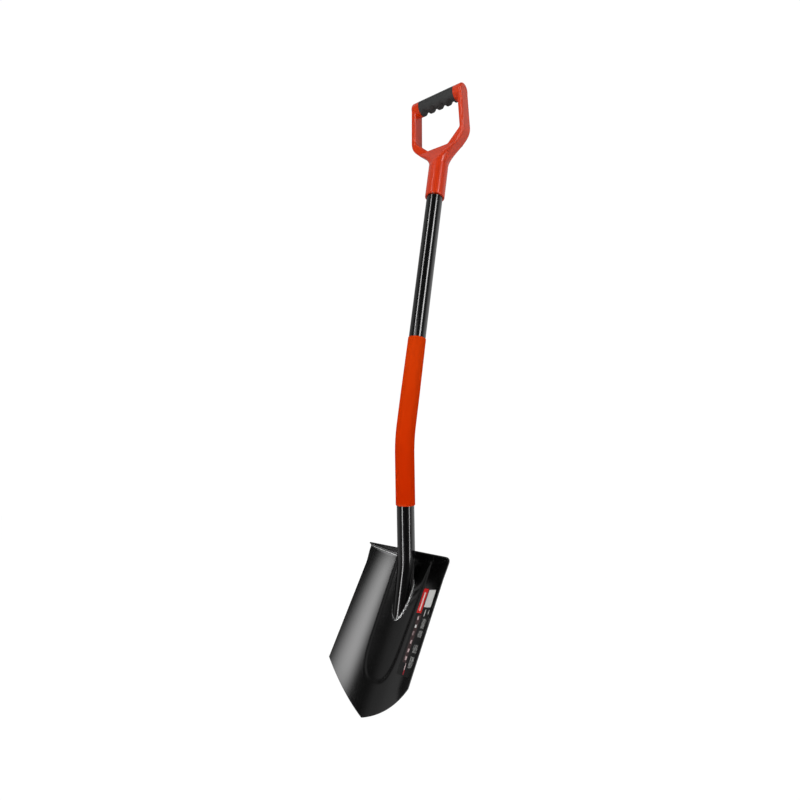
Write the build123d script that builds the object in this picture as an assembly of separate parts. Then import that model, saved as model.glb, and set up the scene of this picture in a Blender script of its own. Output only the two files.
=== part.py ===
from build123d import *
import math
import os

# A pointed digging spade: trough blade with forward turned steps, cranked tube shaft with a hand sleeve,
# and a moulded D-handle. Millimetres. Z runs up the upper shaft, X across the blade, and the hollow side
# of the blade faces -Y. The finished model stands on the tip, with the origin below its middle.

# Shaft tube
TUBE_DIAMETER = 33.4
TUBE_WALL = 1.5
CRANK_ANGLE = 13.3
CRANK_LENGTH = 238.7
UPPER_BEND_RADIUS = 250.0
LOWER_BEND_RADIUS = 130.0
BARE_SHAFT_LENGTH = 511.4
SOCKET_INSERTION = 70.0

# Blade sheet
SHEET = 2.0
BLADE_WIDTH = 184.0
SHOULDER_INSET = 3.2
SHOULDER_DROP = 213.3
WING_STRAIGHT = 12.0
WAIST_INSET = 2.6
WAIST_DROP = 34.0
WAIST_RADIUS = 150.0
BLADE_LENGTH = 278.3
POINT_BULGE = 7.2
TROUGH_DEPTH = 33.5
BLADE_PITCH = 23.2
STEP_ABOVE_CRANK = 25.7

# Tongue pressed forward in the trough
TONGUE_RISE = 2.2
TONGUE_RADIUS = 245.0
TONGUE_TOP_WIDTH = 92.0
TONGUE_END_WIDTH = 83.0
TONGUE_LENGTH = 221.3
TONGUE_SLOPE = 30.0

# Steps turned forward from the top of the sheet
STEP_OVERHANG = 8.5
STEP_RISE_ANGLE = 3.0
STEP_CORNER_RADIUS = 2.0
FOLD_RADIUS = 4.0

# Weld run round the cut end of the tube
WELD_WIDTH = 3.0
WELD_HEIGHT = 4.0

# Hand sleeve on the shaft
SLEEVE_DIAMETER = 37.0
SLEEVE_TOP_DIAMETER = 35.6
SLEEVE_ABOVE_BEND = 202.0
SLEEVE_BELOW_BEND = 123.6
SLEEVE_TAPER_LENGTH = 110.0
SLEEVE_ROUNDING = 1.2

# Handle socket and yoke
SOCKET_DIAMETER = 41.0
SOCKET_STRAIGHT = 70.0
SOCKET_TO_YOKE = 113.0
HANDLE_TILT = 15.4
SOCKET_RIM_ROUNDING = 1.5
YOKE_LOW_WIDTH = 45.0
YOKE_LOW_DEPTH = 38.0
YOKE_LOW_CORNER = 16.0
YOKE_LOW_DROP = 27.0
YOKE_MID_WIDTH = 66.0
YOKE_MID_DEPTH = 33.0
YOKE_MID_CORNER = 9.0
YOKE_MID_DROP = 13.0
YOKE_TOP_INSET = 0.2

# D-shaped frame of the handle, seen square to its own plane
FRAME_DEPTH = 28.5
ARM_WIDTH_LOW = 134.0
ARM_LEAN = 4.0
ARM_THICKNESS_LOW = 11.9
ARM_THICKNESS_TOP = 10.9
OPENING_FLAT = 50.0
OPENING_FLAT_HEIGHT = 2.5
OPENING_CORNER_HEIGHT = 27.5
YOKE_SLOPE = 42.0
ARM_CORNER_HEIGHT = 16.2
ARM_CORNER_RADIUS = 30.0
OPENING_CORNER_RADIUS = 6.0
FRAME_ROUNDING = 3.5
WEB_HEIGHT = 4.5

# Cross bar and soft grip
BAR_HEIGHT = 103.4
BAR_CORE_DIAMETER = 18.0
GRIP_DIAMETER = 31.5
COLLAR_LENGTH = 8.8
BAR_END_ROUNDING = 4.5
FINGER_COUNT = 4
FINGER_MARGIN = 1.1
FINGER_RADIUS = 9.0
FINGER_DEPTH = 4.4
FINGER_AXIS_OFFSET = 6.7
FINGER_LEAN = 25.0
GRIP_ROUNDING = 1.0

# Screw at the back of the socket
SCREW_DIAMETER = 4.8
SCREW_LENGTH = 14.0
SCREW_HEAD_DIAMETER = 9.5
SCREW_HEAD_HEIGHT = 2.6
SCREW_ABOVE_RIM = 35.0
SCREW_SEAT_DEPTH = 0.8
SCREW_SLOT = 1.1

# Film label on the right wing
LABEL_THICKNESS = 0.2
LABEL_WIDTH = 36.5
LABEL_EDGE_MARGIN = 12.0
LABEL_TOP = 51.3
LABEL_BOTTOM = 198.3
LABEL_CORNER_RADIUS = 3.0

# Clearances
SOCKET_CLEARANCE = 0.15
SLEEVE_CLEARANCE = 0.1
LABEL_CLEARANCE = 0.15
NOTCH_CLEARANCE = 0.4
SCREW_CLEARANCE = 0.05

# Derived places: the upper crank corner is the working origin, with the upper shaft straight above it
tube_radius = TUBE_DIAMETER / 2
crank = math.radians(CRANK_ANGLE)
lower_corner = Vector(0, CRANK_LENGTH * math.sin(crank), -CRANK_LENGTH * math.cos(crank))
tube_top = BARE_SHAFT_LENGTH + SOCKET_INSERTION
blade_place = Location(lower_corner + Vector(0, 0, STEP_ABOVE_CRANK), (-BLADE_PITCH, 0, 0))
handle_place = Location((0, 0, BARE_SHAFT_LENGTH + SOCKET_TO_YOKE), (HANDLE_TILT, 0, 0))

# The arms lean in towards the bar, and the grip fills the bar between two collars
arm_width_top = ARM_WIDTH_LOW - 2 * ARM_LEAN
opening_width_low = ARM_WIDTH_LOW - 2 * ARM_THICKNESS_LOW
opening_width_top = arm_width_top - 2 * ARM_THICKNESS_TOP
grip_length = opening_width_top - 2 * COLLAR_LENGTH
finger_pitch = (grip_length - 2 * FINGER_MARGIN) / FINGER_COUNT

# The trough is part of a round cylinder, and the tongue's face part of a flatter one
trough_radius = (BLADE_WIDTH**2 / 4 + TROUGH_DEPTH**2) / (2 * TROUGH_DEPTH)
tongue_depth = TROUGH_DEPTH - TONGUE_RISE
blade_reach = 2 * BLADE_LENGTH
tube_reach = 0.6 * BLADE_LENGTH


def trough_cylinder(radius):
    """Solid cylinder down the trough's own axis."""
    return Pos(0, TROUGH_DEPTH - trough_radius, 0) * Cylinder(radius, 2 * blade_reach)


def tongue_cylinder(radius):
    """Solid cylinder down the axis of the tongue's flatter face."""
    return Pos(0, tongue_depth - TONGUE_RADIUS, 0) * Cylinder(radius, 2 * blade_reach)


def shaft_line(lower_end):
    """Centre line of the shaft from a point below the lower crank corner up to the top of the tube."""
    bottom = lower_corner - Vector(0, 0, lower_end)
    corners = [bottom, lower_corner, Vector(0, 0, 0), Vector(0, 0, tube_top)]
    return FilletPolyline(*corners, radius=[LOWER_BEND_RADIUS, UPPER_BEND_RADIUS])


def along(line, radius):
    """Round bar of one radius along a line."""
    return sweep(Plane(line @ 0, z_dir=line % 0) * Circle(radius), path=line)


def tongue_wedge(shift):
    """Tapered block with the tongue's outline, wider towards the back, moved back by a shift."""
    spread = TONGUE_RISE + 4 * SHEET
    narrowing = spread / math.tan(math.radians(TONGUE_SLOPE))

    def outline(depth, inset):
        end = TONGUE_END_WIDTH / 2 - inset
        top = TONGUE_TOP_WIDTH / 2 - inset
        turn = -(TONGUE_LENGTH - TONGUE_END_WIDTH / 2)
        head = TONGUE_LENGTH / 4
        lines = [
            Line((-top, head), (-end, turn)),
            ThreePointArc((-end, turn), (0, turn - end), (end, turn)),
            Line((end, turn), (top, head)),
            Line((top, head), (-top, head)),
        ]
        return Plane.XZ.offset(-depth) * make_face(lines)

    back = outline(TROUGH_DEPTH + shift, 0)
    front = outline(TROUGH_DEPTH + shift - spread, narrowing)
    return loft([back, front], ruled=True)


def raised_tongue():
    """What the tongue adds in front of the plain trough."""
    return (tongue_wedge(0) & trough_cylinder(trough_radius)) - tongue_cylinder(TONGUE_RADIUS)


def step_plane():
    """Underside of the turned steps, through the top corners of the wings."""
    rise = math.radians(STEP_RISE_ANGLE)
    return Plane((0, 0, 0), x_dir=(1, 0, 0), z_dir=(0, math.sin(rise), math.cos(rise)))


def blade_outline():
    """Prism of the blade's outline, square to its chord: sides, shoulders and the bulged point."""
    half = BLADE_WIDTH / 2
    waist, shoulder = half - WAIST_INSET, half - SHOULDER_INSET
    top = BLADE_WIDTH / 4
    right = [(half, top), (half, -WING_STRAIGHT), (waist, -WAIST_DROP), (shoulder, -SHOULDER_DROP)]
    left = [(-x, z) for x, z in reversed(right)]
    tip = (0, -BLADE_LENGTH)
    lines = [
        Polyline(*right),
        SagittaArc(right[-1], tip, POINT_BULGE),
        SagittaArc(tip, left[0], POINT_BULGE),
        Polyline(*left, right[0]),
    ]
    face = make_face(lines)
    waists = face.vertices().filter_by_position(Axis.Y, -WAIST_DROP - 1, -WAIST_DROP + 1)
    return extrude(Plane.XZ * fillet(waists, WAIST_RADIUS), amount=BLADE_WIDTH, both=True)


def above(plane):
    """Everything above a plane, as far as the blade reaches."""
    return extrude(plane * Rectangle(4 * BLADE_WIDTH, 4 * BLADE_WIDTH), 2 * BLADE_LENGTH)


def lies_on(edge, plane):
    """Whether an edge lies in a plane."""
    return all(abs(plane.to_local_coords(edge @ t).Z) < 0.001 for t in (0, 0.5, 1))


def from_trough_axis(edge):
    """Distance of an edge's middle from the trough's axis."""
    middle = edge @ 0.5
    return math.hypot(middle.X, middle.Y - TROUGH_DEPTH + trough_radius)


def fold_edges(solid, plane, radius):
    """Edges where the turned steps meet a face of the trough."""
    return [e for e in solid.edges() if lies_on(e, plane) and abs(from_trough_axis(e) - radius) < 0.01]


def make_blade():
    """Trough with its tongue and both steps, all of one sheet."""
    under = step_plane()
    over = under.offset(SHEET)
    front = STEP_OVERHANG / math.cos(math.radians(STEP_RISE_ANGLE))
    back = 2 * TROUGH_DEPTH
    flat = Pos(0, (back - front) / 2) * Rectangle(BLADE_WIDTH, back + front)
    rounded = fillet(flat.vertices().sort_by(Axis.Y)[:2], STEP_CORNER_RADIUS)
    steps = extrude(under * flat, SHEET) & trough_cylinder(trough_radius + SHEET)
    corners = extrude(under * (flat - rounded), 2 * SHEET)
    notch = blade_place.inverse() * along(shaft_line(TROUGH_DEPTH), tube_radius + NOTCH_CLEARANCE)

    sheet = trough_cylinder(trough_radius + SHEET) - trough_cylinder(trough_radius)
    blade = (sheet & blade_outline()) - above(over) + steps
    blade = fillet(fold_edges(blade, under, trough_radius), FOLD_RADIUS)
    blade = fillet(fold_edges(blade, over, trough_radius + SHEET), FOLD_RADIUS + SHEET)

    reach = trough_cylinder(trough_radius + 2 * SHEET)
    hollow = (tongue_wedge(SHEET) & reach) - tongue_cylinder(TONGUE_RADIUS + SHEET)
    tongue = raised_tongue() - above(under)
    return blade_place * (blade + tongue - hollow - notch - corners)


def behind_front_face():
    """Everything behind the front face of the trough and its tongue, as far as the tube reaches."""
    block = Box(BLADE_WIDTH, BLADE_LENGTH, 2 * BLADE_LENGTH)
    block = Pos(0, BLADE_LENGTH / 2, -BLADE_LENGTH / 2) * block
    return blade_place * (block - trough_cylinder(trough_radius) + raised_tongue())


def screw_place():
    """Seat of the screw head on the back of the socket, looking out along the screw."""
    seat = SOCKET_DIAMETER / 2 - SCREW_SEAT_DEPTH
    return Plane((0, seat, BARE_SHAFT_LENGTH + SCREW_ABOVE_RIM), x_dir=(1, 0, 0), z_dir=(0, 1, 0))


def screw_hole():
    """Room for the shank and the seated head."""
    shank = Pos(0, 0, -SCREW_LENGTH / 2) * Cylinder(SCREW_DIAMETER / 2 + SCREW_CLEARANCE, SCREW_LENGTH)
    seat = Cylinder(SCREW_HEAD_DIAMETER / 2 + 4 * SCREW_CLEARANCE, 2 * SCREW_SEAT_DEPTH)
    seat = Pos(0, 0, SCREW_SEAT_DEPTH) * seat
    return screw_place() * (shank + seat)


def make_tube():
    """Hollow shaft, bent twice, its lower end cut to the face of the tongue."""
    line = shaft_line(tube_reach)
    tube = along(line, tube_radius) - along(line, tube_radius - TUBE_WALL)
    return tube - behind_front_face() - screw_hole()


def make_weld():
    """Weld run in the corner between the tube and the tongue."""
    line = shaft_line(tube_reach)
    run = along(line, tube_radius + WELD_WIDTH) - along(line, tube_radius)
    near_face = tongue_cylinder(TONGUE_RADIUS) - tongue_cylinder(TONGUE_RADIUS - WELD_HEIGHT)
    return run & (blade_place * near_face)


def make_sleeve():
    """Soft sleeve over the upper bend, a little slimmer towards its top."""
    crank_way = lower_corner.normalized()
    bottom = crank_way * SLEEVE_BELOW_BEND
    straight = SLEEVE_ABOVE_BEND - SLEEVE_TAPER_LENGTH
    line = FilletPolyline(bottom, (0, 0, 0), (0, 0, straight), radius=UPPER_BEND_RADIUS)
    cone = Cone(SLEEVE_DIAMETER / 2, SLEEVE_TOP_DIAMETER / 2, SLEEVE_TAPER_LENGTH)
    body = along(line, SLEEVE_DIAMETER / 2) + Pos(0, 0, straight + SLEEVE_TAPER_LENGTH / 2) * cone
    ends = body.edges().filter_by(GeomType.CIRCLE).sort_by(Axis.Z)
    body = fillet([ends[0], ends[-1]], SLEEVE_ROUNDING)
    return body - along(shaft_line(0.5 * CRANK_LENGTH), tube_radius + SLEEVE_CLEARANCE)


def yoke_half_width(height):
    """Half width between the sloping outer sides of the yoke at one height in the handle's plane."""
    return ARM_WIDTH_LOW / 2 - (ARM_CORNER_HEIGHT - height) / math.tan(math.radians(YOKE_SLOPE))


def frame_profile():
    """Front view of the handle's web and arms, open at the top where the bar goes."""
    low, top = ARM_WIDTH_LOW / 2, arm_width_top / 2
    foot = OPENING_FLAT_HEIGHT - WEB_HEIGHT
    right = [(yoke_half_width(foot), foot), (low, ARM_CORNER_HEIGHT), (top, BAR_HEIGHT)]
    left = [(-x, y) for x, y in reversed(right)]
    outer = make_face(Polyline(*right, *left, close=True))
    corners = outer.vertices().filter_by_position(Axis.Y, ARM_CORNER_HEIGHT - 1, ARM_CORNER_HEIGHT + 1)
    outer = fillet(corners, ARM_CORNER_RADIUS)

    wide, high = opening_width_low / 2, opening_width_top / 2
    bottom = OPENING_FLAT / 2
    right = [(bottom, OPENING_FLAT_HEIGHT), (wide, OPENING_CORNER_HEIGHT), (high, BAR_HEIGHT)]
    left = [(-x, y) for x, y in reversed(right)]
    inner = make_face(Polyline(*right, *left, close=True))
    corners = inner.vertices().filter_by_position(Axis.Y, 0, BAR_HEIGHT / 2)
    inner = fillet(corners, OPENING_CORNER_RADIUS)
    return outer - inner


def yoke_level(drop):
    """Place across the shaft below the handle's plane, leaning more with the handle the higher it is."""
    lean = HANDLE_TILT * (1 - drop / (SOCKET_TO_YOKE - SOCKET_STRAIGHT))
    return Location((0, 0, BARE_SHAFT_LENGTH + SOCKET_TO_YOKE - drop), (lean, 0, 0))


def socket_circle():
    """The socket's round outline as four long and four short arcs, like a rounded square's edges."""
    arcs = []
    for quarter in range(4):
        arcs.append(CenterArc((0, 0), SOCKET_DIAMETER / 2, 90 * quarter - 5, 10))
        arcs.append(CenterArc((0, 0), SOCKET_DIAMETER / 2, 90 * quarter + 5, 80))
    return make_face(arcs)


def bar(radius, length):
    """Round bar across the top of the handle."""
    return Pos(0, 0, BAR_HEIGHT) * Rot(0, 90, 0) * Cylinder(radius, length)


def make_handle():
    """Socket, yoke, arms, bar ends and bar core, moulded in one."""
    plate = extrude(Plane.XZ * frame_profile(), FRAME_DEPTH / 2, both=True)
    foot = OPENING_FLAT_HEIGHT - WEB_HEIGHT
    sides = plate.faces().sort_by(Axis.Y)
    rims = ShapeList(sides[0].edges() + sides[-1].edges())
    plate = fillet(rims.filter_by(lambda e: (e @ 0.5).Z > foot + 0.01), FRAME_ROUNDING)
    ends = bar(GRIP_DIAMETER / 2, arm_width_top)
    ends = fillet(ends.edges().filter_by(GeomType.CIRCLE), BAR_END_ROUNDING)
    ends -= bar(GRIP_DIAMETER, grip_length)
    frame = handle_place * (plate + ends + bar(BAR_CORE_DIAMETER / 2, grip_length))

    socket = Cylinder(SOCKET_DIAMETER / 2, SOCKET_STRAIGHT)
    socket = Pos(0, 0, BARE_SHAFT_LENGTH + SOCKET_STRAIGHT / 2) * socket
    socket = fillet(socket.edges().sort_by(Axis.Z)[0], SOCKET_RIM_ROUNDING)
    low = RectangleRounded(YOKE_LOW_WIDTH, YOKE_LOW_DEPTH, YOKE_LOW_CORNER)
    mid = RectangleRounded(YOKE_MID_WIDTH, YOKE_MID_DEPTH, YOKE_MID_CORNER)
    top_width = 2 * (yoke_half_width(0) - YOKE_TOP_INSET)
    top = RectangleRounded(top_width, FRAME_DEPTH - 2 * YOKE_TOP_INSET, FRAME_ROUNDING)
    sections = [
        yoke_level(SOCKET_TO_YOKE - SOCKET_STRAIGHT) * socket_circle(),
        yoke_level(YOKE_LOW_DROP) * low,
        yoke_level(YOKE_MID_DROP) * mid,
        yoke_level(0) * top,
    ]
    bore_depth = SOCKET_INSERTION + 4 * SOCKET_CLEARANCE
    bore = Cylinder(tube_radius + SOCKET_CLEARANCE, bore_depth)
    bore = Pos(0, 0, BARE_SHAFT_LENGTH + bore_depth / 2) * bore
    return frame + socket + loft(sections) - bore - screw_hole()


def make_grip():
    """Soft cover moulded on the bar's core, with a row of finger hollows below and behind."""
    cover = bar(GRIP_DIAMETER / 2, grip_length)
    cover = fillet(cover.edges().filter_by(GeomType.CIRCLE), GRIP_ROUNDING)
    hollow_floor = GRIP_DIAMETER / 2 - FINGER_DEPTH + FINGER_AXIS_OFFSET
    ring = Rot(0, 90, 0) * Torus(hollow_floor + FINGER_RADIUS, FINGER_RADIUS)
    lean = math.radians(FINGER_LEAN)
    forward, rise = FINGER_AXIS_OFFSET * math.sin(lean), FINGER_AXIS_OFFSET * math.cos(lean)
    for i in range(FINGER_COUNT):
        across = (i - (FINGER_COUNT - 1) / 2) * finger_pitch
        cover -= Pos(across, -forward, BAR_HEIGHT + rise) * ring
    cover -= bar(BAR_CORE_DIAMETER / 2, grip_length)
    return handle_place * cover


def make_screw():
    """Pan head screw with a cross recess."""
    head = Pos(0, 0, SCREW_HEAD_HEIGHT / 2) * Cylinder(SCREW_HEAD_DIAMETER / 2, SCREW_HEAD_HEIGHT)
    head = fillet(head.edges().sort_by(Axis.Z)[-1], SCREW_HEAD_HEIGHT / 2)
    shank = Pos(0, 0, -SCREW_LENGTH / 2) * Cylinder(SCREW_DIAMETER / 2, SCREW_LENGTH)
    shank = chamfer(shank.edges().sort_by(Axis.Z)[0], SCREW_DIAMETER / 4)
    slot = Box(SCREW_DIAMETER, SCREW_SLOT, SCREW_HEAD_HEIGHT)
    recess = Pos(0, 0, SCREW_HEAD_HEIGHT) * (slot + Rot(0, 0, 90) * slot)
    return screw_place() * (head + shank - recess)


def make_label():
    """Thin film on the front of the right wing."""
    length = LABEL_BOTTOM - LABEL_TOP
    centre = (BLADE_WIDTH / 2 - LABEL_EDGE_MARGIN - LABEL_WIDTH / 2, -(LABEL_TOP + LABEL_BOTTOM) / 2)
    outline = Plane.XZ * Pos(*centre) * RectangleRounded(LABEL_WIDTH, length, LABEL_CORNER_RADIUS)
    face = trough_radius - LABEL_CLEARANCE
    film = trough_cylinder(face) - trough_cylinder(face - LABEL_THICKNESS)
    return blade_place * (film & extrude(outline, -2 * TROUGH_DEPTH))


def main():
    """Build every piece, stand the spade on its tip over the origin, and write one file per piece."""
    pieces = {
        "blade": make_blade(),
        "shaft_tube": make_tube(),
        "tube_weld": make_weld(),
        "shaft_sleeve": make_sleeve(),
        "handle_frame": make_handle(),
        "grip_cover": make_grip(),
        "handle_screw": make_screw(),
        "blade_label": make_label(),
    }
    boxes = [solid.bounding_box() for solid in pieces.values()]
    low = [min(tuple(box.min)[i] for box in boxes) for i in range(3)]
    high = [max(tuple(box.max)[i] for box in boxes) for i in range(3)]
    shift = Pos(-(low[0] + high[0]) / 2, -(low[1] + high[1]) / 2, -low[2])
    os.makedirs("parts", exist_ok=True)
    for name, solid in pieces.items():
        export_step(shift * solid, f"parts/{name}.step")


main()
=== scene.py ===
import math

import bmesh
import bpy
from mathutils import Matrix, Vector


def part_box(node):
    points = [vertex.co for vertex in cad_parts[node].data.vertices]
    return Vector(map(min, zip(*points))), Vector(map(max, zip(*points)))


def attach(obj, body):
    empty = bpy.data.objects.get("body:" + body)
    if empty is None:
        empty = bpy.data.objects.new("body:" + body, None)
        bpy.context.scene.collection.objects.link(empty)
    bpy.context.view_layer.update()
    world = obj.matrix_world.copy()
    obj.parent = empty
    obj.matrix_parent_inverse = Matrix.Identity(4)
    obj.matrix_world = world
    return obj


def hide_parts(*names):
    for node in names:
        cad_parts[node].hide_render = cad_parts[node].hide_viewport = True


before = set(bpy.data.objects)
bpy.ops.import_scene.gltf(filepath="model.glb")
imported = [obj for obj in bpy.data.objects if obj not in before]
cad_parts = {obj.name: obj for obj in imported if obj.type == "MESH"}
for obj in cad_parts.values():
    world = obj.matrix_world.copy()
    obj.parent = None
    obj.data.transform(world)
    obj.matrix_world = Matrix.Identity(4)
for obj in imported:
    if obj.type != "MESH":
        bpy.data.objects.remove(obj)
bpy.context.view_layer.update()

# BLADE
# Pressed from one steel sheet: a round trough with a pointed end, a tongue pressed forward down its middle
# and both steps folded forward at the top. It is powder coated in satin black.
BLADE_ORIGIN = Vector((0, 0.034203, 0.269778))
BLADE_TILT = math.radians(23.2)
SHEET = 0.002
BLADE_HALF = 0.092
BLADE_LENGTH = 0.2783  # in metres, as all lengths are, apart from the label's print
SHOULDER_DROP = 0.2133  # a drop is measured down the blade from its top
SHOULDER_INSET = 0.0032
WAIST_INSET = 0.0026
WAIST_DROP = 0.034
WAIST_START = 0.1 * WAIST_DROP
POINT_BULGE = 0.0072
TROUGH_DEPTH = 0.0335
TROUGH_RADIUS = (BLADE_HALF**2 + TROUGH_DEPTH**2) / (2 * TROUGH_DEPTH)
TONGUE_RISE = 0.00185
TONGUE_DEPTH = TROUGH_DEPTH - TONGUE_RISE
TONGUE_RADIUS = TROUGH_RADIUS - TONGUE_RISE
TONGUE_TOP_HALF = 0.039
TONGUE_NARROWING = 0.041
TONGUE_TURN = 0.15
TONGUE_LENGTH = 0.2205
TONGUE_FULLNESS = 3.0
TONGUE_CORE = 0.3
TONGUE_EDGE = 0.008
STEP_OVERHANG = 0.0085
STEP_RISE = math.tan(math.radians(3))
STEP_CORNER = 0.002
FOLD_RADIUS = 0.004
FOLD_START = 0.74
FOLD_END = 0.78
NOTCH_ACROSS = 0.0168
NOTCH_DEEP = 0.0218
NOTCH_CENTRE = -0.0081
NOTCH_FAR = 2.0
GRID_ACROSS = 120
GRID_ALONG = 200
MERGE_DISTANCE = 0.00001


def round_depth(middle, radius, across, behind):
    """Depth of a round trough at a distance from its middle, on its face or a distance behind it."""
    return middle - radius + math.sqrt((radius + behind) ** 2 - across**2)


def eased(share):
    """Goes from 0 to 1 with level ends."""
    share = min(max(share, 0), 1)
    return share * share * (3 - 2 * share)


def tongue_inset(across, drop):
    """How far inside the tongue's outline a point lies; its end is a full oval."""
    half = TONGUE_TOP_HALF - TONGUE_NARROWING * drop
    length = TONGUE_LENGTH - TONGUE_TURN
    side, end = abs(across) / half, max(drop - TONGUE_TURN, 0) / length
    reach = (side**TONGUE_FULLNESS + end**TONGUE_FULLNESS) ** (1 / TONGUE_FULLNESS)
    reach = max(reach, TONGUE_CORE)
    side_slope = (side / reach) ** (TONGUE_FULLNESS - 1) / half
    end_slope = (end / reach) ** (TONGUE_FULLNESS - 1) / length
    return (1 - reach) / max(math.hypot(side_slope, end_slope), 1 / length)


def sheet_depth(across, drop, behind):
    """Depth below the chord between the wings, on the sheet's front face or a distance behind it."""
    trough = round_depth(TROUGH_DEPTH, TROUGH_RADIUS, across, behind)
    face = round_depth(TONGUE_DEPTH, TONGUE_RADIUS, across, behind)
    return trough + (face - trough) * eased(tongue_inset(across, drop) / TONGUE_EDGE + 0.5)


def blade_half_width(drop):
    """Half the blade's width at one level: full at the top, drawn in to the waist and the shoulder."""
    waist = eased((drop - WAIST_START) / WAIST_DROP)
    below = min(max(drop - WAIST_DROP, 0) / (SHOULDER_DROP - WAIST_DROP), 1)
    return BLADE_HALF - WAIST_INSET * waist - (SHOULDER_INSET - WAIST_INSET) * below


def point_drop(across):
    """Level of the pointed end's bulged edge at a distance from the middle."""
    reach, fall = BLADE_HALF - SHOULDER_INSET, BLADE_LENGTH - SHOULDER_DROP
    chord = math.hypot(reach, fall)
    radius = (chord**2 / 4 + POINT_BULGE**2) / (2 * POINT_BULGE)
    inward = radius - POINT_BULGE
    centre_x = reach / 2 - inward * fall / chord
    centre_drop = SHOULDER_DROP + fall / 2 - inward * reach / chord
    return centre_drop + math.sqrt(radius**2 - (abs(across) - centre_x) ** 2)


def fold_drop(across):
    """Level at which the sheet begins to turn forward into the steps."""
    return FOLD_RADIUS + STEP_RISE * round_depth(TROUGH_DEPTH, TROUGH_RADIUS, across, 0)


def from_blade(point):
    """A point given across, into and up the blade, in the spade's own frame."""
    return BLADE_ORIGIN + Matrix.Rotation(-BLADE_TILT, 3, "X") @ Vector(point)


def blade_point(share, level, behind):
    """A point of the sheet: share runs from wing to wing, level from the tip to the steps' front edge."""
    across = share * BLADE_HALF
    top = fold_drop(across)
    if level <= FOLD_START:
        end = point_drop(share * (BLADE_HALF - SHOULDER_INSET))
        drop = end + (top - end) * level / FOLD_START
        across = share * blade_half_width(drop)
        return Vector((across, sheet_depth(across, drop, behind), -drop))
    centre = sheet_depth(across, top, 0) - FOLD_RADIUS
    if level <= FOLD_END:
        turn = (level - FOLD_START) / (FOLD_END - FOLD_START) * math.pi / 2
        outward = (sheet_depth(across, top, behind) - centre) * math.cos(turn)
        upward = (FOLD_RADIUS + behind) * math.sin(turn) - FOLD_RADIUS
        return Vector((across, centre + outward, upward - centre * STEP_RISE))
    depth = centre + (-STEP_OVERHANG - centre) * (level - FOLD_END) / (1 - FOLD_END)
    ahead = max(STEP_CORNER - (depth + STEP_OVERHANG), 0)
    across = share * (BLADE_HALF - STEP_CORNER + math.sqrt(max(STEP_CORNER**2 - ahead**2, 0)))
    return Vector((across, depth, behind - depth * STEP_RISE))


def notch_reach(point):
    """Less than one where a point of the steps lies in the oval notch that the tube passes through."""
    return math.hypot(point.x / NOTCH_ACROSS, (point.y - NOTCH_CENTRE) / NOTCH_DEEP)


def placed(name, data):
    """Put new data into the scene as an object."""
    thing = bpy.data.objects.new(name, data)
    bpy.context.scene.collection.objects.link(thing)
    return thing


def built(name, bm):
    """Make an object of a bmesh whose shape is done."""
    mesh = bpy.data.meshes.new(name)
    bm.to_mesh(mesh)
    bm.free()
    return placed(name, mesh)


def finished(name, bm, slot, *nodes):
    """Make a piece of the spade of a bmesh, in place, and hide the CAD parts that it takes the place of."""
    piece = built(name, bm)
    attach(piece, "root")
    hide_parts(*nodes)
    return piece


bm = bmesh.new()
bmesh.ops.create_grid(bm, x_segments=GRID_ACROSS, y_segments=GRID_ALONG, size=1)
level = bm.verts.layers.float.new("level")
reach = bm.verts.layers.float.new("reach")
for vert in bm.verts:
    vert[level] = (vert.co.y + 1) / 2
    vert[reach] = NOTCH_FAR
    if vert[level] > FOLD_END:
        vert[reach] = notch_reach(blade_point(vert.co.x, vert[level], 0))
inside = [face for face in bm.faces if all(vert[reach] < 1 for vert in face.verts)]
bmesh.ops.delete(bm, geom=inside, context="FACES")
copied = bmesh.ops.extrude_face_region(bm, geom=bm.faces[:], use_keep_orig=True)
behind = {item for item in copied["geom"] if isinstance(item, bmesh.types.BMVert)}
for vert in bm.verts:
    place = blade_point(vert.co.x, vert[level], SHEET if vert in behind else 0)
    if vert[reach] < 1:
        rise = place.z + place.y * STEP_RISE
        if place.y > NOTCH_CENTRE:
            place.x /= vert[reach]
            place.y = NOTCH_CENTRE + (place.y - NOTCH_CENTRE) / vert[reach]
        else:
            place.x = math.copysign(NOTCH_ACROSS, place.x)
        place.z = rise - place.y * STEP_RISE
    vert.co = from_blade(place)
bmesh.ops.remove_doubles(bm, verts=bm.verts, dist=MERGE_DISTANCE)
bmesh.ops.recalc_face_normals(bm, faces=bm.faces)
for face in bm.faces:
    face.smooth = True
blade = finished("blade_sheet", bm, "black_coat", "blade")
rim = blade.modifiers.new("deburred", "BEVEL")
rim.width = 0.0004
rim.segments = 2
rim.limit_method = "ANGLE"
rim.angle_limit = math.radians(40)
rim.harden_normals = True


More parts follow.
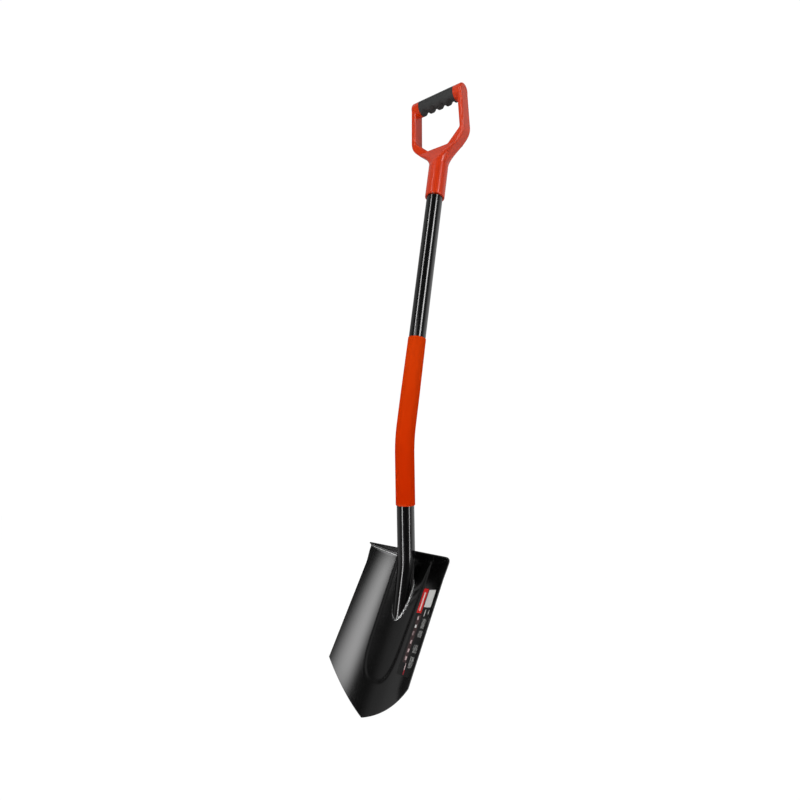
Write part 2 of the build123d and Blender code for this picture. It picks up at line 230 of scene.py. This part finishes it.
class Socket:
    """A shader socket that takes part in sums, and the one way to add any other node."""

    def __init__(self, tree, socket=None):
        self.tree = tree
        self.socket = socket

    def node(self, kind, settings=(), inputs=(), output=0):
        """Add a node: its settings first, then its sockets' values or links. Gives one of its outputs."""
        new = self.tree.nodes.new("ShaderNode" + kind)
        for name, value in dict(settings).items():
            setattr(new, name, value)
        for name, value in dict(inputs).items():
            if isinstance(value, Socket):
                self.tree.links.new(value.socket, new.inputs[name])
            else:
                new.inputs[name].default_value = value
        return Socket(self.tree, new.outputs[output] if len(new.outputs) else None)

    def math(self, operation, first, second):
        return self.node("Math", {"operation": operation}, {0: first, 1: second})

    def __add__(self, other):
        return self.math("ADD", self, other)

    def __radd__(self, other):
        return self.math("ADD", other, self)

    def __sub__(self, other):
        return self.math("SUBTRACT", self, other)

    def __rsub__(self, other):
        return self.math("SUBTRACT", other, self)

    def __mul__(self, other):
        return self.math("MULTIPLY", self, other)

    def __rmul__(self, other):
        return self.math("MULTIPLY", other, self)

    def __gt__(self, other):
        return self.math("GREATER_THAN", self, other)

    def __lt__(self, other):
        return self.math("LESS_THAN", self, other)

    def part(self, name):
        """One of the numbers of a vector, by its axis."""
        return self.node("SeparateXYZ", inputs={0: self}, output=name)

    def mixed(self, first, second):
        """Between two colours, by this value. The colour sockets share their names, so they go by number."""
        inputs = {"Factor": self, 6: first, 7: second}
        return self.node("Mix", {"data_type": "RGBA"}, inputs, 2)

    def eased(self, low, high):
        """This value's way from low to high, as a share that is eased at both ends."""
        inputs = {"Value": self, "From Min": low, "From Max": high}
        return self.node("MapRange", {"interpolation_type": "SMOOTHSTEP"}, inputs)


def emptied(owner):
    """The node tree of a material or a world, with nothing in it yet."""
    owner.use_nodes = True
    owner.node_tree.nodes.clear()
    return Socket(owner.node_tree)


def new_material(name):
    """An empty material, and the place on the object that its patterns read."""
    material = bpy.data.materials.new(name)
    return material, emptied(material).node("TexCoord", output="Object")


def shade(place, **inputs):
    """Close a material with one Principled shader; a constant goes straight on its socket."""
    inputs = {name.replace("_", " "): value for name, value in inputs.items()}
    place.node("OutputMaterial", inputs={"Surface": place.node("BsdfPrincipled", inputs=inputs)})


def noise(place, scale, detail=2.0):
    """Noise on the object's own coordinates; scale is in waves per metre."""
    inputs = {"Vector": place, "Scale": scale, "Detail": detail}
    return place.node("TexNoise", inputs=inputs, output="Fac")


def bumped(height, strength, distance):
    """The normal of a surface that a pattern raises by up to a distance."""
    inputs = {"Height": height, "Strength": strength, "Distance": distance}
    return height.node("Bump", inputs=inputs, output="Normal")


COAT_DARK = (0.0006, 0.0006, 0.0007, 1)
COAT_PALE = (0.0016, 0.0016, 0.0016, 1)


def coat(name, roughness, spread, peel_height, index=1.5):
    """Black powder coat: near black, a fine orange peel, and a gloss that varies a little in patches."""
    material, place = new_material(name)
    patches = noise(place, 22.0, 3.0)
    peel = noise(place, 500.0)
    shade(
        place,
        Base_Color=patches.mixed(COAT_DARK, COAT_PALE),
        Roughness=roughness - spread / 2 + spread * patches,
        Normal=bumped(peel, strength=0.1, distance=peel_height),
        IOR=index,
        Specular_IOR_Level=1.0,
    )
    return material


satin_coat = coat("satin_black_coat", roughness=0.18, spread=0.05, peel_height=0.00003)
blade.data.materials.append(satin_coat)

# SHAFT TUBE
# One steel tube, bent twice so that both ends stay parallel, its lower end cut to the tongue.
# Its black coat is glossier than the blade's.
gloss_coat = coat("gloss_black_coat", roughness=0.15, spread=0.04, peel_height=0.000004)
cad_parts["shaft_tube"].data.materials[0] = gloss_coat

# TUBE WELD
# A bead run by hand round the cut end of the tube, in the corner where it meets the tongue, and painted
# over. Each stroke leaves a small overlapping ripple, and the run is fuller on the right.
TUBE_RADIUS = 0.0167
BEAD_HALF = 0.0032
BEAD_HEIGHT = 0.0012
BEAD_SUNK = 0.0012
BEAD_STEP = 0.0030
BEAD_OVERLAP = 0.75
LOOK_AHEAD = 0.01
SWELL, SWELL_RIGHT = 0.70, 0.26
SWELL_WAVES = ((0.14, 2.4), (0.10, 5.3))
LIFT, LIFT_RIGHT = 0.25, 0.45
WANDER, WANDER_PACE = 0.0004, 3.7
LEAST_SLANT = 0.1


def bead_place(turn):
    """Point in the corner between the tube and the tongue, at an angle round the tube from its front."""
    across = TUBE_RADIUS * math.sin(turn)
    ahead = -TUBE_RADIUS * math.cos(turn)
    face = round_depth(TONGUE_DEPTH, TONGUE_RADIUS, across, 0)
    rise = (ahead * math.cos(BLADE_TILT) - face) / math.sin(BLADE_TILT)
    return BLADE_ORIGIN + Vector((across, ahead, rise))


bm = bmesh.new()
turn = 0.0
stroke = 0
while turn < 2 * math.pi:
    here, ahead = bead_place(turn), bead_place(turn + LOOK_AHEAD)
    right = math.sin(turn)
    swell = SWELL + SWELL_RIGHT * right
    swell += sum(wave * math.sin(stroke * pace) for wave, pace in SWELL_WAVES)
    off_tube = Vector((right, -math.cos(turn), 0))
    off_tongue = (from_blade((-here.x / TONGUE_RADIUS, -1, 0)) - BLADE_ORIGIN).normalized()
    along = (ahead - here).normalized()
    outward = (off_tube + off_tongue).normalized()
    sideways = along.cross(outward)
    height = BEAD_HEIGHT * (1 + abs(right)) * swell
    lift = (LIFT + LIFT_RIGHT * right) * height
    slant = max(abs(sideways.dot(off_tongue)), LEAST_SLANT)
    sunk = (BEAD_SUNK + lift * outward.dot(off_tongue)) / slant
    size = Matrix.Diagonal((min(BEAD_HALF * swell, sunk), height, BEAD_OVERLAP * BEAD_STEP))
    shape = (Matrix((sideways, outward, along)).transposed() @ size).to_4x4()
    middle = here + WANDER * math.sin(stroke * WANDER_PACE) * sideways + lift * outward
    shape = Matrix.Translation(middle) @ shape
    bmesh.ops.create_icosphere(bm, subdivisions=2, radius=1, matrix=shape)
    turn += LOOK_AHEAD * BEAD_STEP / (ahead - here).length
    stroke += 1
weld = finished("weld_bead", bm, "black_coat", "tube_weld")
joined = weld.modifiers.new("joined", "REMESH")
joined.mode = "VOXEL"
joined.voxel_size = 0.0004
joined.use_smooth_shade = True
soft = weld.modifiers.new("soft", "SMOOTH")
soft.factor = 0.5
soft.iterations = 1
weld_coat = coat("weld_coat", roughness=0.22, spread=0.08, peel_height=0.00006, index=2.2)
weld.data.materials.append(weld_coat)

# SHAFT SLEEVE
# A soft orange rubber sleeve pushed over the tube across its upper bend. Its surface is matt and finely
# grained, and a painted highlight makes a narrow band along its rolled lower edge a little lighter.
SLEEVE_LOW = (0.585, 0.0245, 0.0004, 1)
SLEEVE_HIGH = (0.635, 0.046, 0.0028, 1)
SLEEVE_CLOUD = (0.645, 0.040, 0.0016, 1)
# The lighter colour of the painted highlight along the rolled lower edge.
SLEEVE_RIM_SHEEN = (0.68, 0.08, 0.02, 1)
CLOUD_SHARE = 0.35
RIM_SHEEN_SHARE = 0.35
RIM_SHEEN_FROM, RIM_SHEEN_TO = 0.006, 0.002
material, place = new_material("sleeve_rubber")
low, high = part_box("shaft_sleeve")
height = place.part("Z")
cloud = noise(place, 30.0, 3.0)
grain = noise(place, 1400.0)
# Painted highlight: the base colour turns lighter in a band up to 6 mm above the rolled lower edge, standing
# in for the light that edge catches.
rim_sheen = 1 - height.eased(low.z + RIM_SHEEN_TO, low.z + RIM_SHEEN_FROM)
tone = height.eased(low.z, high.z).mixed(SLEEVE_LOW, SLEEVE_HIGH)
tone = (CLOUD_SHARE * cloud).mixed(tone, SLEEVE_CLOUD)
shade(
    place,
    Base_Color=(RIM_SHEEN_SHARE * rim_sheen).mixed(tone, SLEEVE_RIM_SHEEN),
    Roughness=0.72 + 0.12 * cloud,
    Normal=bumped(grain, strength=0.25, distance=0.0001),
    Specular_IOR_Level=0.0,
)
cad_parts["shaft_sleeve"].data.materials[0] = material

# HANDLE FRAME
# Injection moulded in one: the socket over the tube, the yoke, both arms and the core of the cross bar.
# Satin red-orange plastic with a fine spark texture and soft edges.
material, place = new_material("handle_plastic")
cloud = noise(place, 26.0)
grain = noise(place, 1600.0)
shade(
    place,
    Base_Color=cloud.mixed((0.60, 0.031, 0.0010, 1), (0.66, 0.038, 0.0016, 1)),
    Roughness=0.20 + 0.05 * cloud,
    Normal=bumped(grain, strength=0.15, distance=0.0001),
    IOR=1.5,
)
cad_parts["handle_frame"].data.materials[0] = material

# GRIP COVER
# Soft black rubber moulded round the core of the cross bar, with four finger hollows below.
# Matt, with a fine texture that makes it look dark grey.
material, place = new_material("grip_rubber")
cloud = noise(place, 60.0, 3.0)
grain = noise(place, 1500.0, 3.0)
shade(
    place,
    Base_Color=cloud.mixed((0.027, 0.028, 0.028, 1), (0.039, 0.040, 0.040, 1)),
    Roughness=0.62 + 0.12 * cloud,
    Normal=bumped(grain, strength=0.3, distance=0.0002),
    Specular_IOR_Level=0.25,
)
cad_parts["grip_cover"].data.materials[0] = material

# HANDLE SCREW
# A pan head screw of zinc plated steel, driven into the back of the socket,
# which keeps the handle on the tube.
material, place = new_material("zinc_plate")
cloud = noise(place, 500.0, 3.0)
shade(
    place,
    Base_Color=cloud.mixed((0.50, 0.50, 0.49, 1), (0.62, 0.61, 0.58, 1)),
    Roughness=0.28 + 0.14 * cloud,
    Metallic=1.0,
)
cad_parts["handle_screw"].data.materials[0] = material

# BLADE LABEL
# A thin printed film stuck on the right wing: dark ground, a plain red field, a plain white field,
# and small pale marks and lines below them.
GROUND = (0.006, 0.006, 0.006, 1)
RED = (0.60, 0.008, 0.008, 1)
BLUSH = (0.80, 0.62, 0.60, 1)
PALE = (0.66, 0.66, 0.64, 1)
HAZE = (0.55, 0.26, 0.27, 1)
ROSE = (0.66, 0.50, 0.50, 1)
WINE = (0.30, 0.01, 0.02, 1)
GREY = (0.40, 0.40, 0.39, 1)
LINE_PITCH, LINE_SHARE, LINE_BREAK = 0.0027, 0.62, 0.40
material, place = new_material("label_print")
from_top = place.node("VectorMath", {"operation": "SUBTRACT"}, {0: place, 1: BLADE_ORIGIN})
across = from_top.part("X")
drop = -math.sin(BLADE_TILT) * from_top.part("Y") - math.cos(BLADE_TILT) * from_top.part("Z")


def field(left, top, right, bottom):
    """One where the film lies between these limits, in millimetres from the blade's middle and top."""
    left, top, right, bottom = (limit / 1000 for limit in (left, top, right, bottom))
    return (across > left) * (across < right) * (drop > top) * (drop < bottom)


tone = GROUND
for *limits, strength, ink in (
    (43.5, 51.3, 56.2, 95.5, 1.0, RED),
    (48.0, 58.5, 51.5, 91.5, 1.0, BLUSH),
    (58.5, 53.0, 78.5, 84.0, 1.0, PALE),
    (49.5, 98.5, 59.0, 178.0, 0.07, HAZE),
    (50.6, 101.0, 54.4, 107.0, 0.75, ROSE),
    (51.0, 115.6, 55.4, 120.8, 1.0, PALE),
    (50.4, 126.6, 54.8, 134.0, 0.3, ROSE),
    (52.6, 141.6, 56.6, 147.4, 0.75, ROSE),
    (53.2, 155.8, 57.2, 161.6, 0.8, ROSE),
    (53.0, 168.0, 57.4, 174.2, 0.8, ROSE),
    (59.0, 178.5, 61.2, 190.0, 0.8, ROSE),
    (65.8, 88.0, 67.8, 100.4, 1.0, PALE),
    (76.4, 89.0, 78.4, 95.2, 1.0, PALE),
    (60.0, 189.0, 62.8, 197.0, 1.0, WINE),
):
    tone = (strength * field(*limits)).mixed(tone, ink)
lines = place.math("FRACT", across * (1 / LINE_PITCH), 0.0) < LINE_SHARE
lines = lines * (noise(place, 420.0) > LINE_BREAK)
for *limits, strength in (
    (66.4, 104.0, 78.2, 121.0, 0.75),
    (66.2, 124.0, 79.0, 135.2, 0.75),
    (66.0, 147.6, 79.0, 161.0, 0.65),
    (67.6, 166.8, 79.0, 184.4, 0.75),
):
    tone = (strength * field(*limits) * lines).mixed(tone, GREY)
shade(place, Base_Color=tone, Roughness=0.3 + 0.1 * noise(place, 120.0), IOR=1.5)
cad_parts["blade_label"].data.materials[0] = material
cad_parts["blade_label"].visible_glossy = False

# STUDIO
# A white paper sweep below and behind the spade, two soft boxes for what is matt on it, strips and a low
# panel that its glossy coats mirror, and a lit silk in front of the hollow of the blade.
PAPER = (0.8, 0.8, 0.8, 1)
PAPER_GLOW = 1.10
PAPER_GLOW_SHARE = 0.88
bm = bmesh.new()
bmesh.ops.create_circle(bm, cap_ends=True, segments=64, radius=3.0)
bmesh.ops.translate(bm, verts=bm.verts, vec=(0.0, 0.6, -0.0004))
floor = built("floor", bm)
floor.visible_glossy = False
floor.visible_shadow = False
paper = bpy.data.materials.new("white_sweep")
base = emptied(paper)
seen = base.node("LightPath", output="Is Camera Ray")
matt = base.node("BsdfDiffuse", inputs={"Color": PAPER})
glow = base.node("Emission", inputs={"Color": (1, 1, 1, 1), "Strength": PAPER_GLOW})
surface = base.node("MixShader", inputs={0: PAPER_GLOW_SHARE * seen, 1: matt, 2: glow})
base.node("OutputMaterial", inputs={"Surface": surface})
floor.data.materials.append(paper)

BACKDROP = 1.02
ROOM_FILL = 0.38
ROOM_FRONT, ROOM_SIDES, ROOM_BACK = 0.028, 0.19, 0.08
ROOM_RIGHT_GAIN = 1.8
ROOM_RIGHT_DIM = 0.5
ROOF, ROOF_RIGHT_DIM = 0.56, 0.38
ROOF_GAP_DIM = 0.92
ROOF_TOP_DIM = 0.7


def facing(way, direction):
    """How far a ray goes in one direction."""
    inputs = {0: way, 1: direction}
    return way.node("VectorMath", {"operation": "DOT_PRODUCT"}, inputs, "Value")


world = bpy.data.worlds.new("studio")
bpy.context.scene.world = world
base = emptied(world)
seen = base.node("LightPath", output="Is Camera Ray")
through = base.node("LightPath", output="Is Transmission Ray")
mirrored = base.node("LightPath", output="Is Glossy Ray")
way = base.node("TexCoord", output="Generated")
away = facing(way, (-0.61, 0.79, 0.0))
aside = facing(way, (0.79, 0.61, 0.0))
gap = facing(way, (0.602, -0.799, 0.0))
rise = way.part("Z")
right_side = 1 + ROOM_RIGHT_GAIN * aside.eased(0.2, 0.8)
right_side = right_side * (1 - ROOM_RIGHT_DIM * rise.eased(0.53, 0.62))
walls = ROOM_FRONT + ROOM_SIDES * away.eased(-0.36, -0.05) + ROOM_BACK * away.eased(0.0, 0.3)
roof = (ROOF - ROOF_RIGHT_DIM * aside.eased(0.1, 0.45)) * (1 - ROOF_GAP_DIM * gap.eased(0.62, 0.74))
roof = roof * rise.eased(0.53, 0.66) * (1 - ROOF_TOP_DIM * rise.eased(0.75, 0.92))
room = ROOM_FILL * (1 - mirrored) + mirrored * (walls * right_side + roof)
level = room * (1 - seen) * (1 - through) + BACKDROP * base.math("MAXIMUM", seen, through)
light = base.node("Background", inputs={"Color": level, "Strength": 1.0})
base.node("OutputWorld", inputs={"Surface": light})


def soft_box(name, place, aim, width, height, radiance, matt=False):
    """A soft box at a place, facing a point; seen either in matt surfaces or in glossy ones."""
    lamp = bpy.data.lights.new(name, "AREA")
    lamp.shape = "RECTANGLE"
    lamp.size = width
    lamp.size_y = height
    lamp.energy = radiance * math.pi * width * height
    holder = placed(name, lamp)
    holder.visible_diffuse = matt
    holder.visible_glossy = not matt
    turn = (Vector(aim) - Vector(place)).to_track_quat("-Z", "Y")
    holder.matrix_world = Matrix.Translation(place) @ turn.to_matrix().to_4x4()


soft_box("front_fill", (-0.289, -1.7, 0.7), (0, -0.02, 0.7), 0.22, 3.0, 9.6, matt=True)
soft_box("right_fill", (1.69, -0.20, 0.7), (0, -0.02, 0.7), 0.22, 3.0, 7.6, matt=True)
soft_box("front_strip_high", (-0.139, -0.81, 1.23), (0, -0.02, 1.23), 0.11, 0.56, 9)
soft_box("front_strip_low", (-0.20, -1.6, -0.3), (0, -0.02, -0.3), 0.22, 1.2, 8.5)
soft_box("right_strip_high", (1.48, -0.61, 1.27), (0, -0.02, 1.27), 0.34, 1.56, 9)
soft_box("right_strip_low", (1.58, 0.0, 0.0), (0, 0.0, 0.0), 0.18, 0.8, 7)
soft_box("low_glow", (-0.07, -0.628, -0.344), (-0.07, 0.03, 0.27), 0.46, 0.24, 13)

SILK_GLOW = 4.1
SILK_LEAN = 0.25
bm = bmesh.new()
bmesh.ops.create_grid(bm, x_segments=1, y_segments=1, size=0.5)
bmesh.ops.rotate(bm, verts=bm.verts, matrix=Matrix.Rotation(math.pi / 2, 3, "X"))
bmesh.ops.translate(bm, verts=bm.verts, vec=(0.2, -0.9, 0.7))
screen = built("blade_box", bm)
screen.visible_camera = False
screen.visible_diffuse = False
screen.visible_transmission = False
screen.visible_shadow = False
silk, place = new_material("lit_silk")
side, height = place.part("X"), place.part("Z")
level = side.eased(-0.22, 0.07) * (1 - (side + SILK_LEAN * height).eased(0.25, 0.78))
level = level * height.eased(0.27, 0.46) * (1 - height.eased(0.91, 1.03))
glow = place.node("Emission", inputs={"Color": level, "Strength": SILK_GLOW})
surface = place.node("AddShader", inputs={0: glow, 1: place.node("BsdfTransparent")})
place.node("OutputMaterial", inputs={"Surface": surface})
screen.data.materials.append(silk)

# CAMERA
# A wide lens close in front of the spade and to its right, at the height of the lower shaft,
# looking a little upwards.
camera = bpy.data.cameras.new("camera")
camera.sensor_width = 36.0
camera.lens = 22.8827
holder = placed("camera", camera)
right, up, back = (0.79155, 0.59812, 0.12531), (0.02054, -0.23099, 0.97273), (0.61076, -0.76745, -0.19507)
turn = Matrix((right, up, back)).transposed().to_4x4()
holder.matrix_world = Matrix.Translation((0.58322, -0.78255, 0.36034)) @ turn
bpy.context.scene.camera = holder
bpy.context.scene.view_settings.view_transform = "Standard"
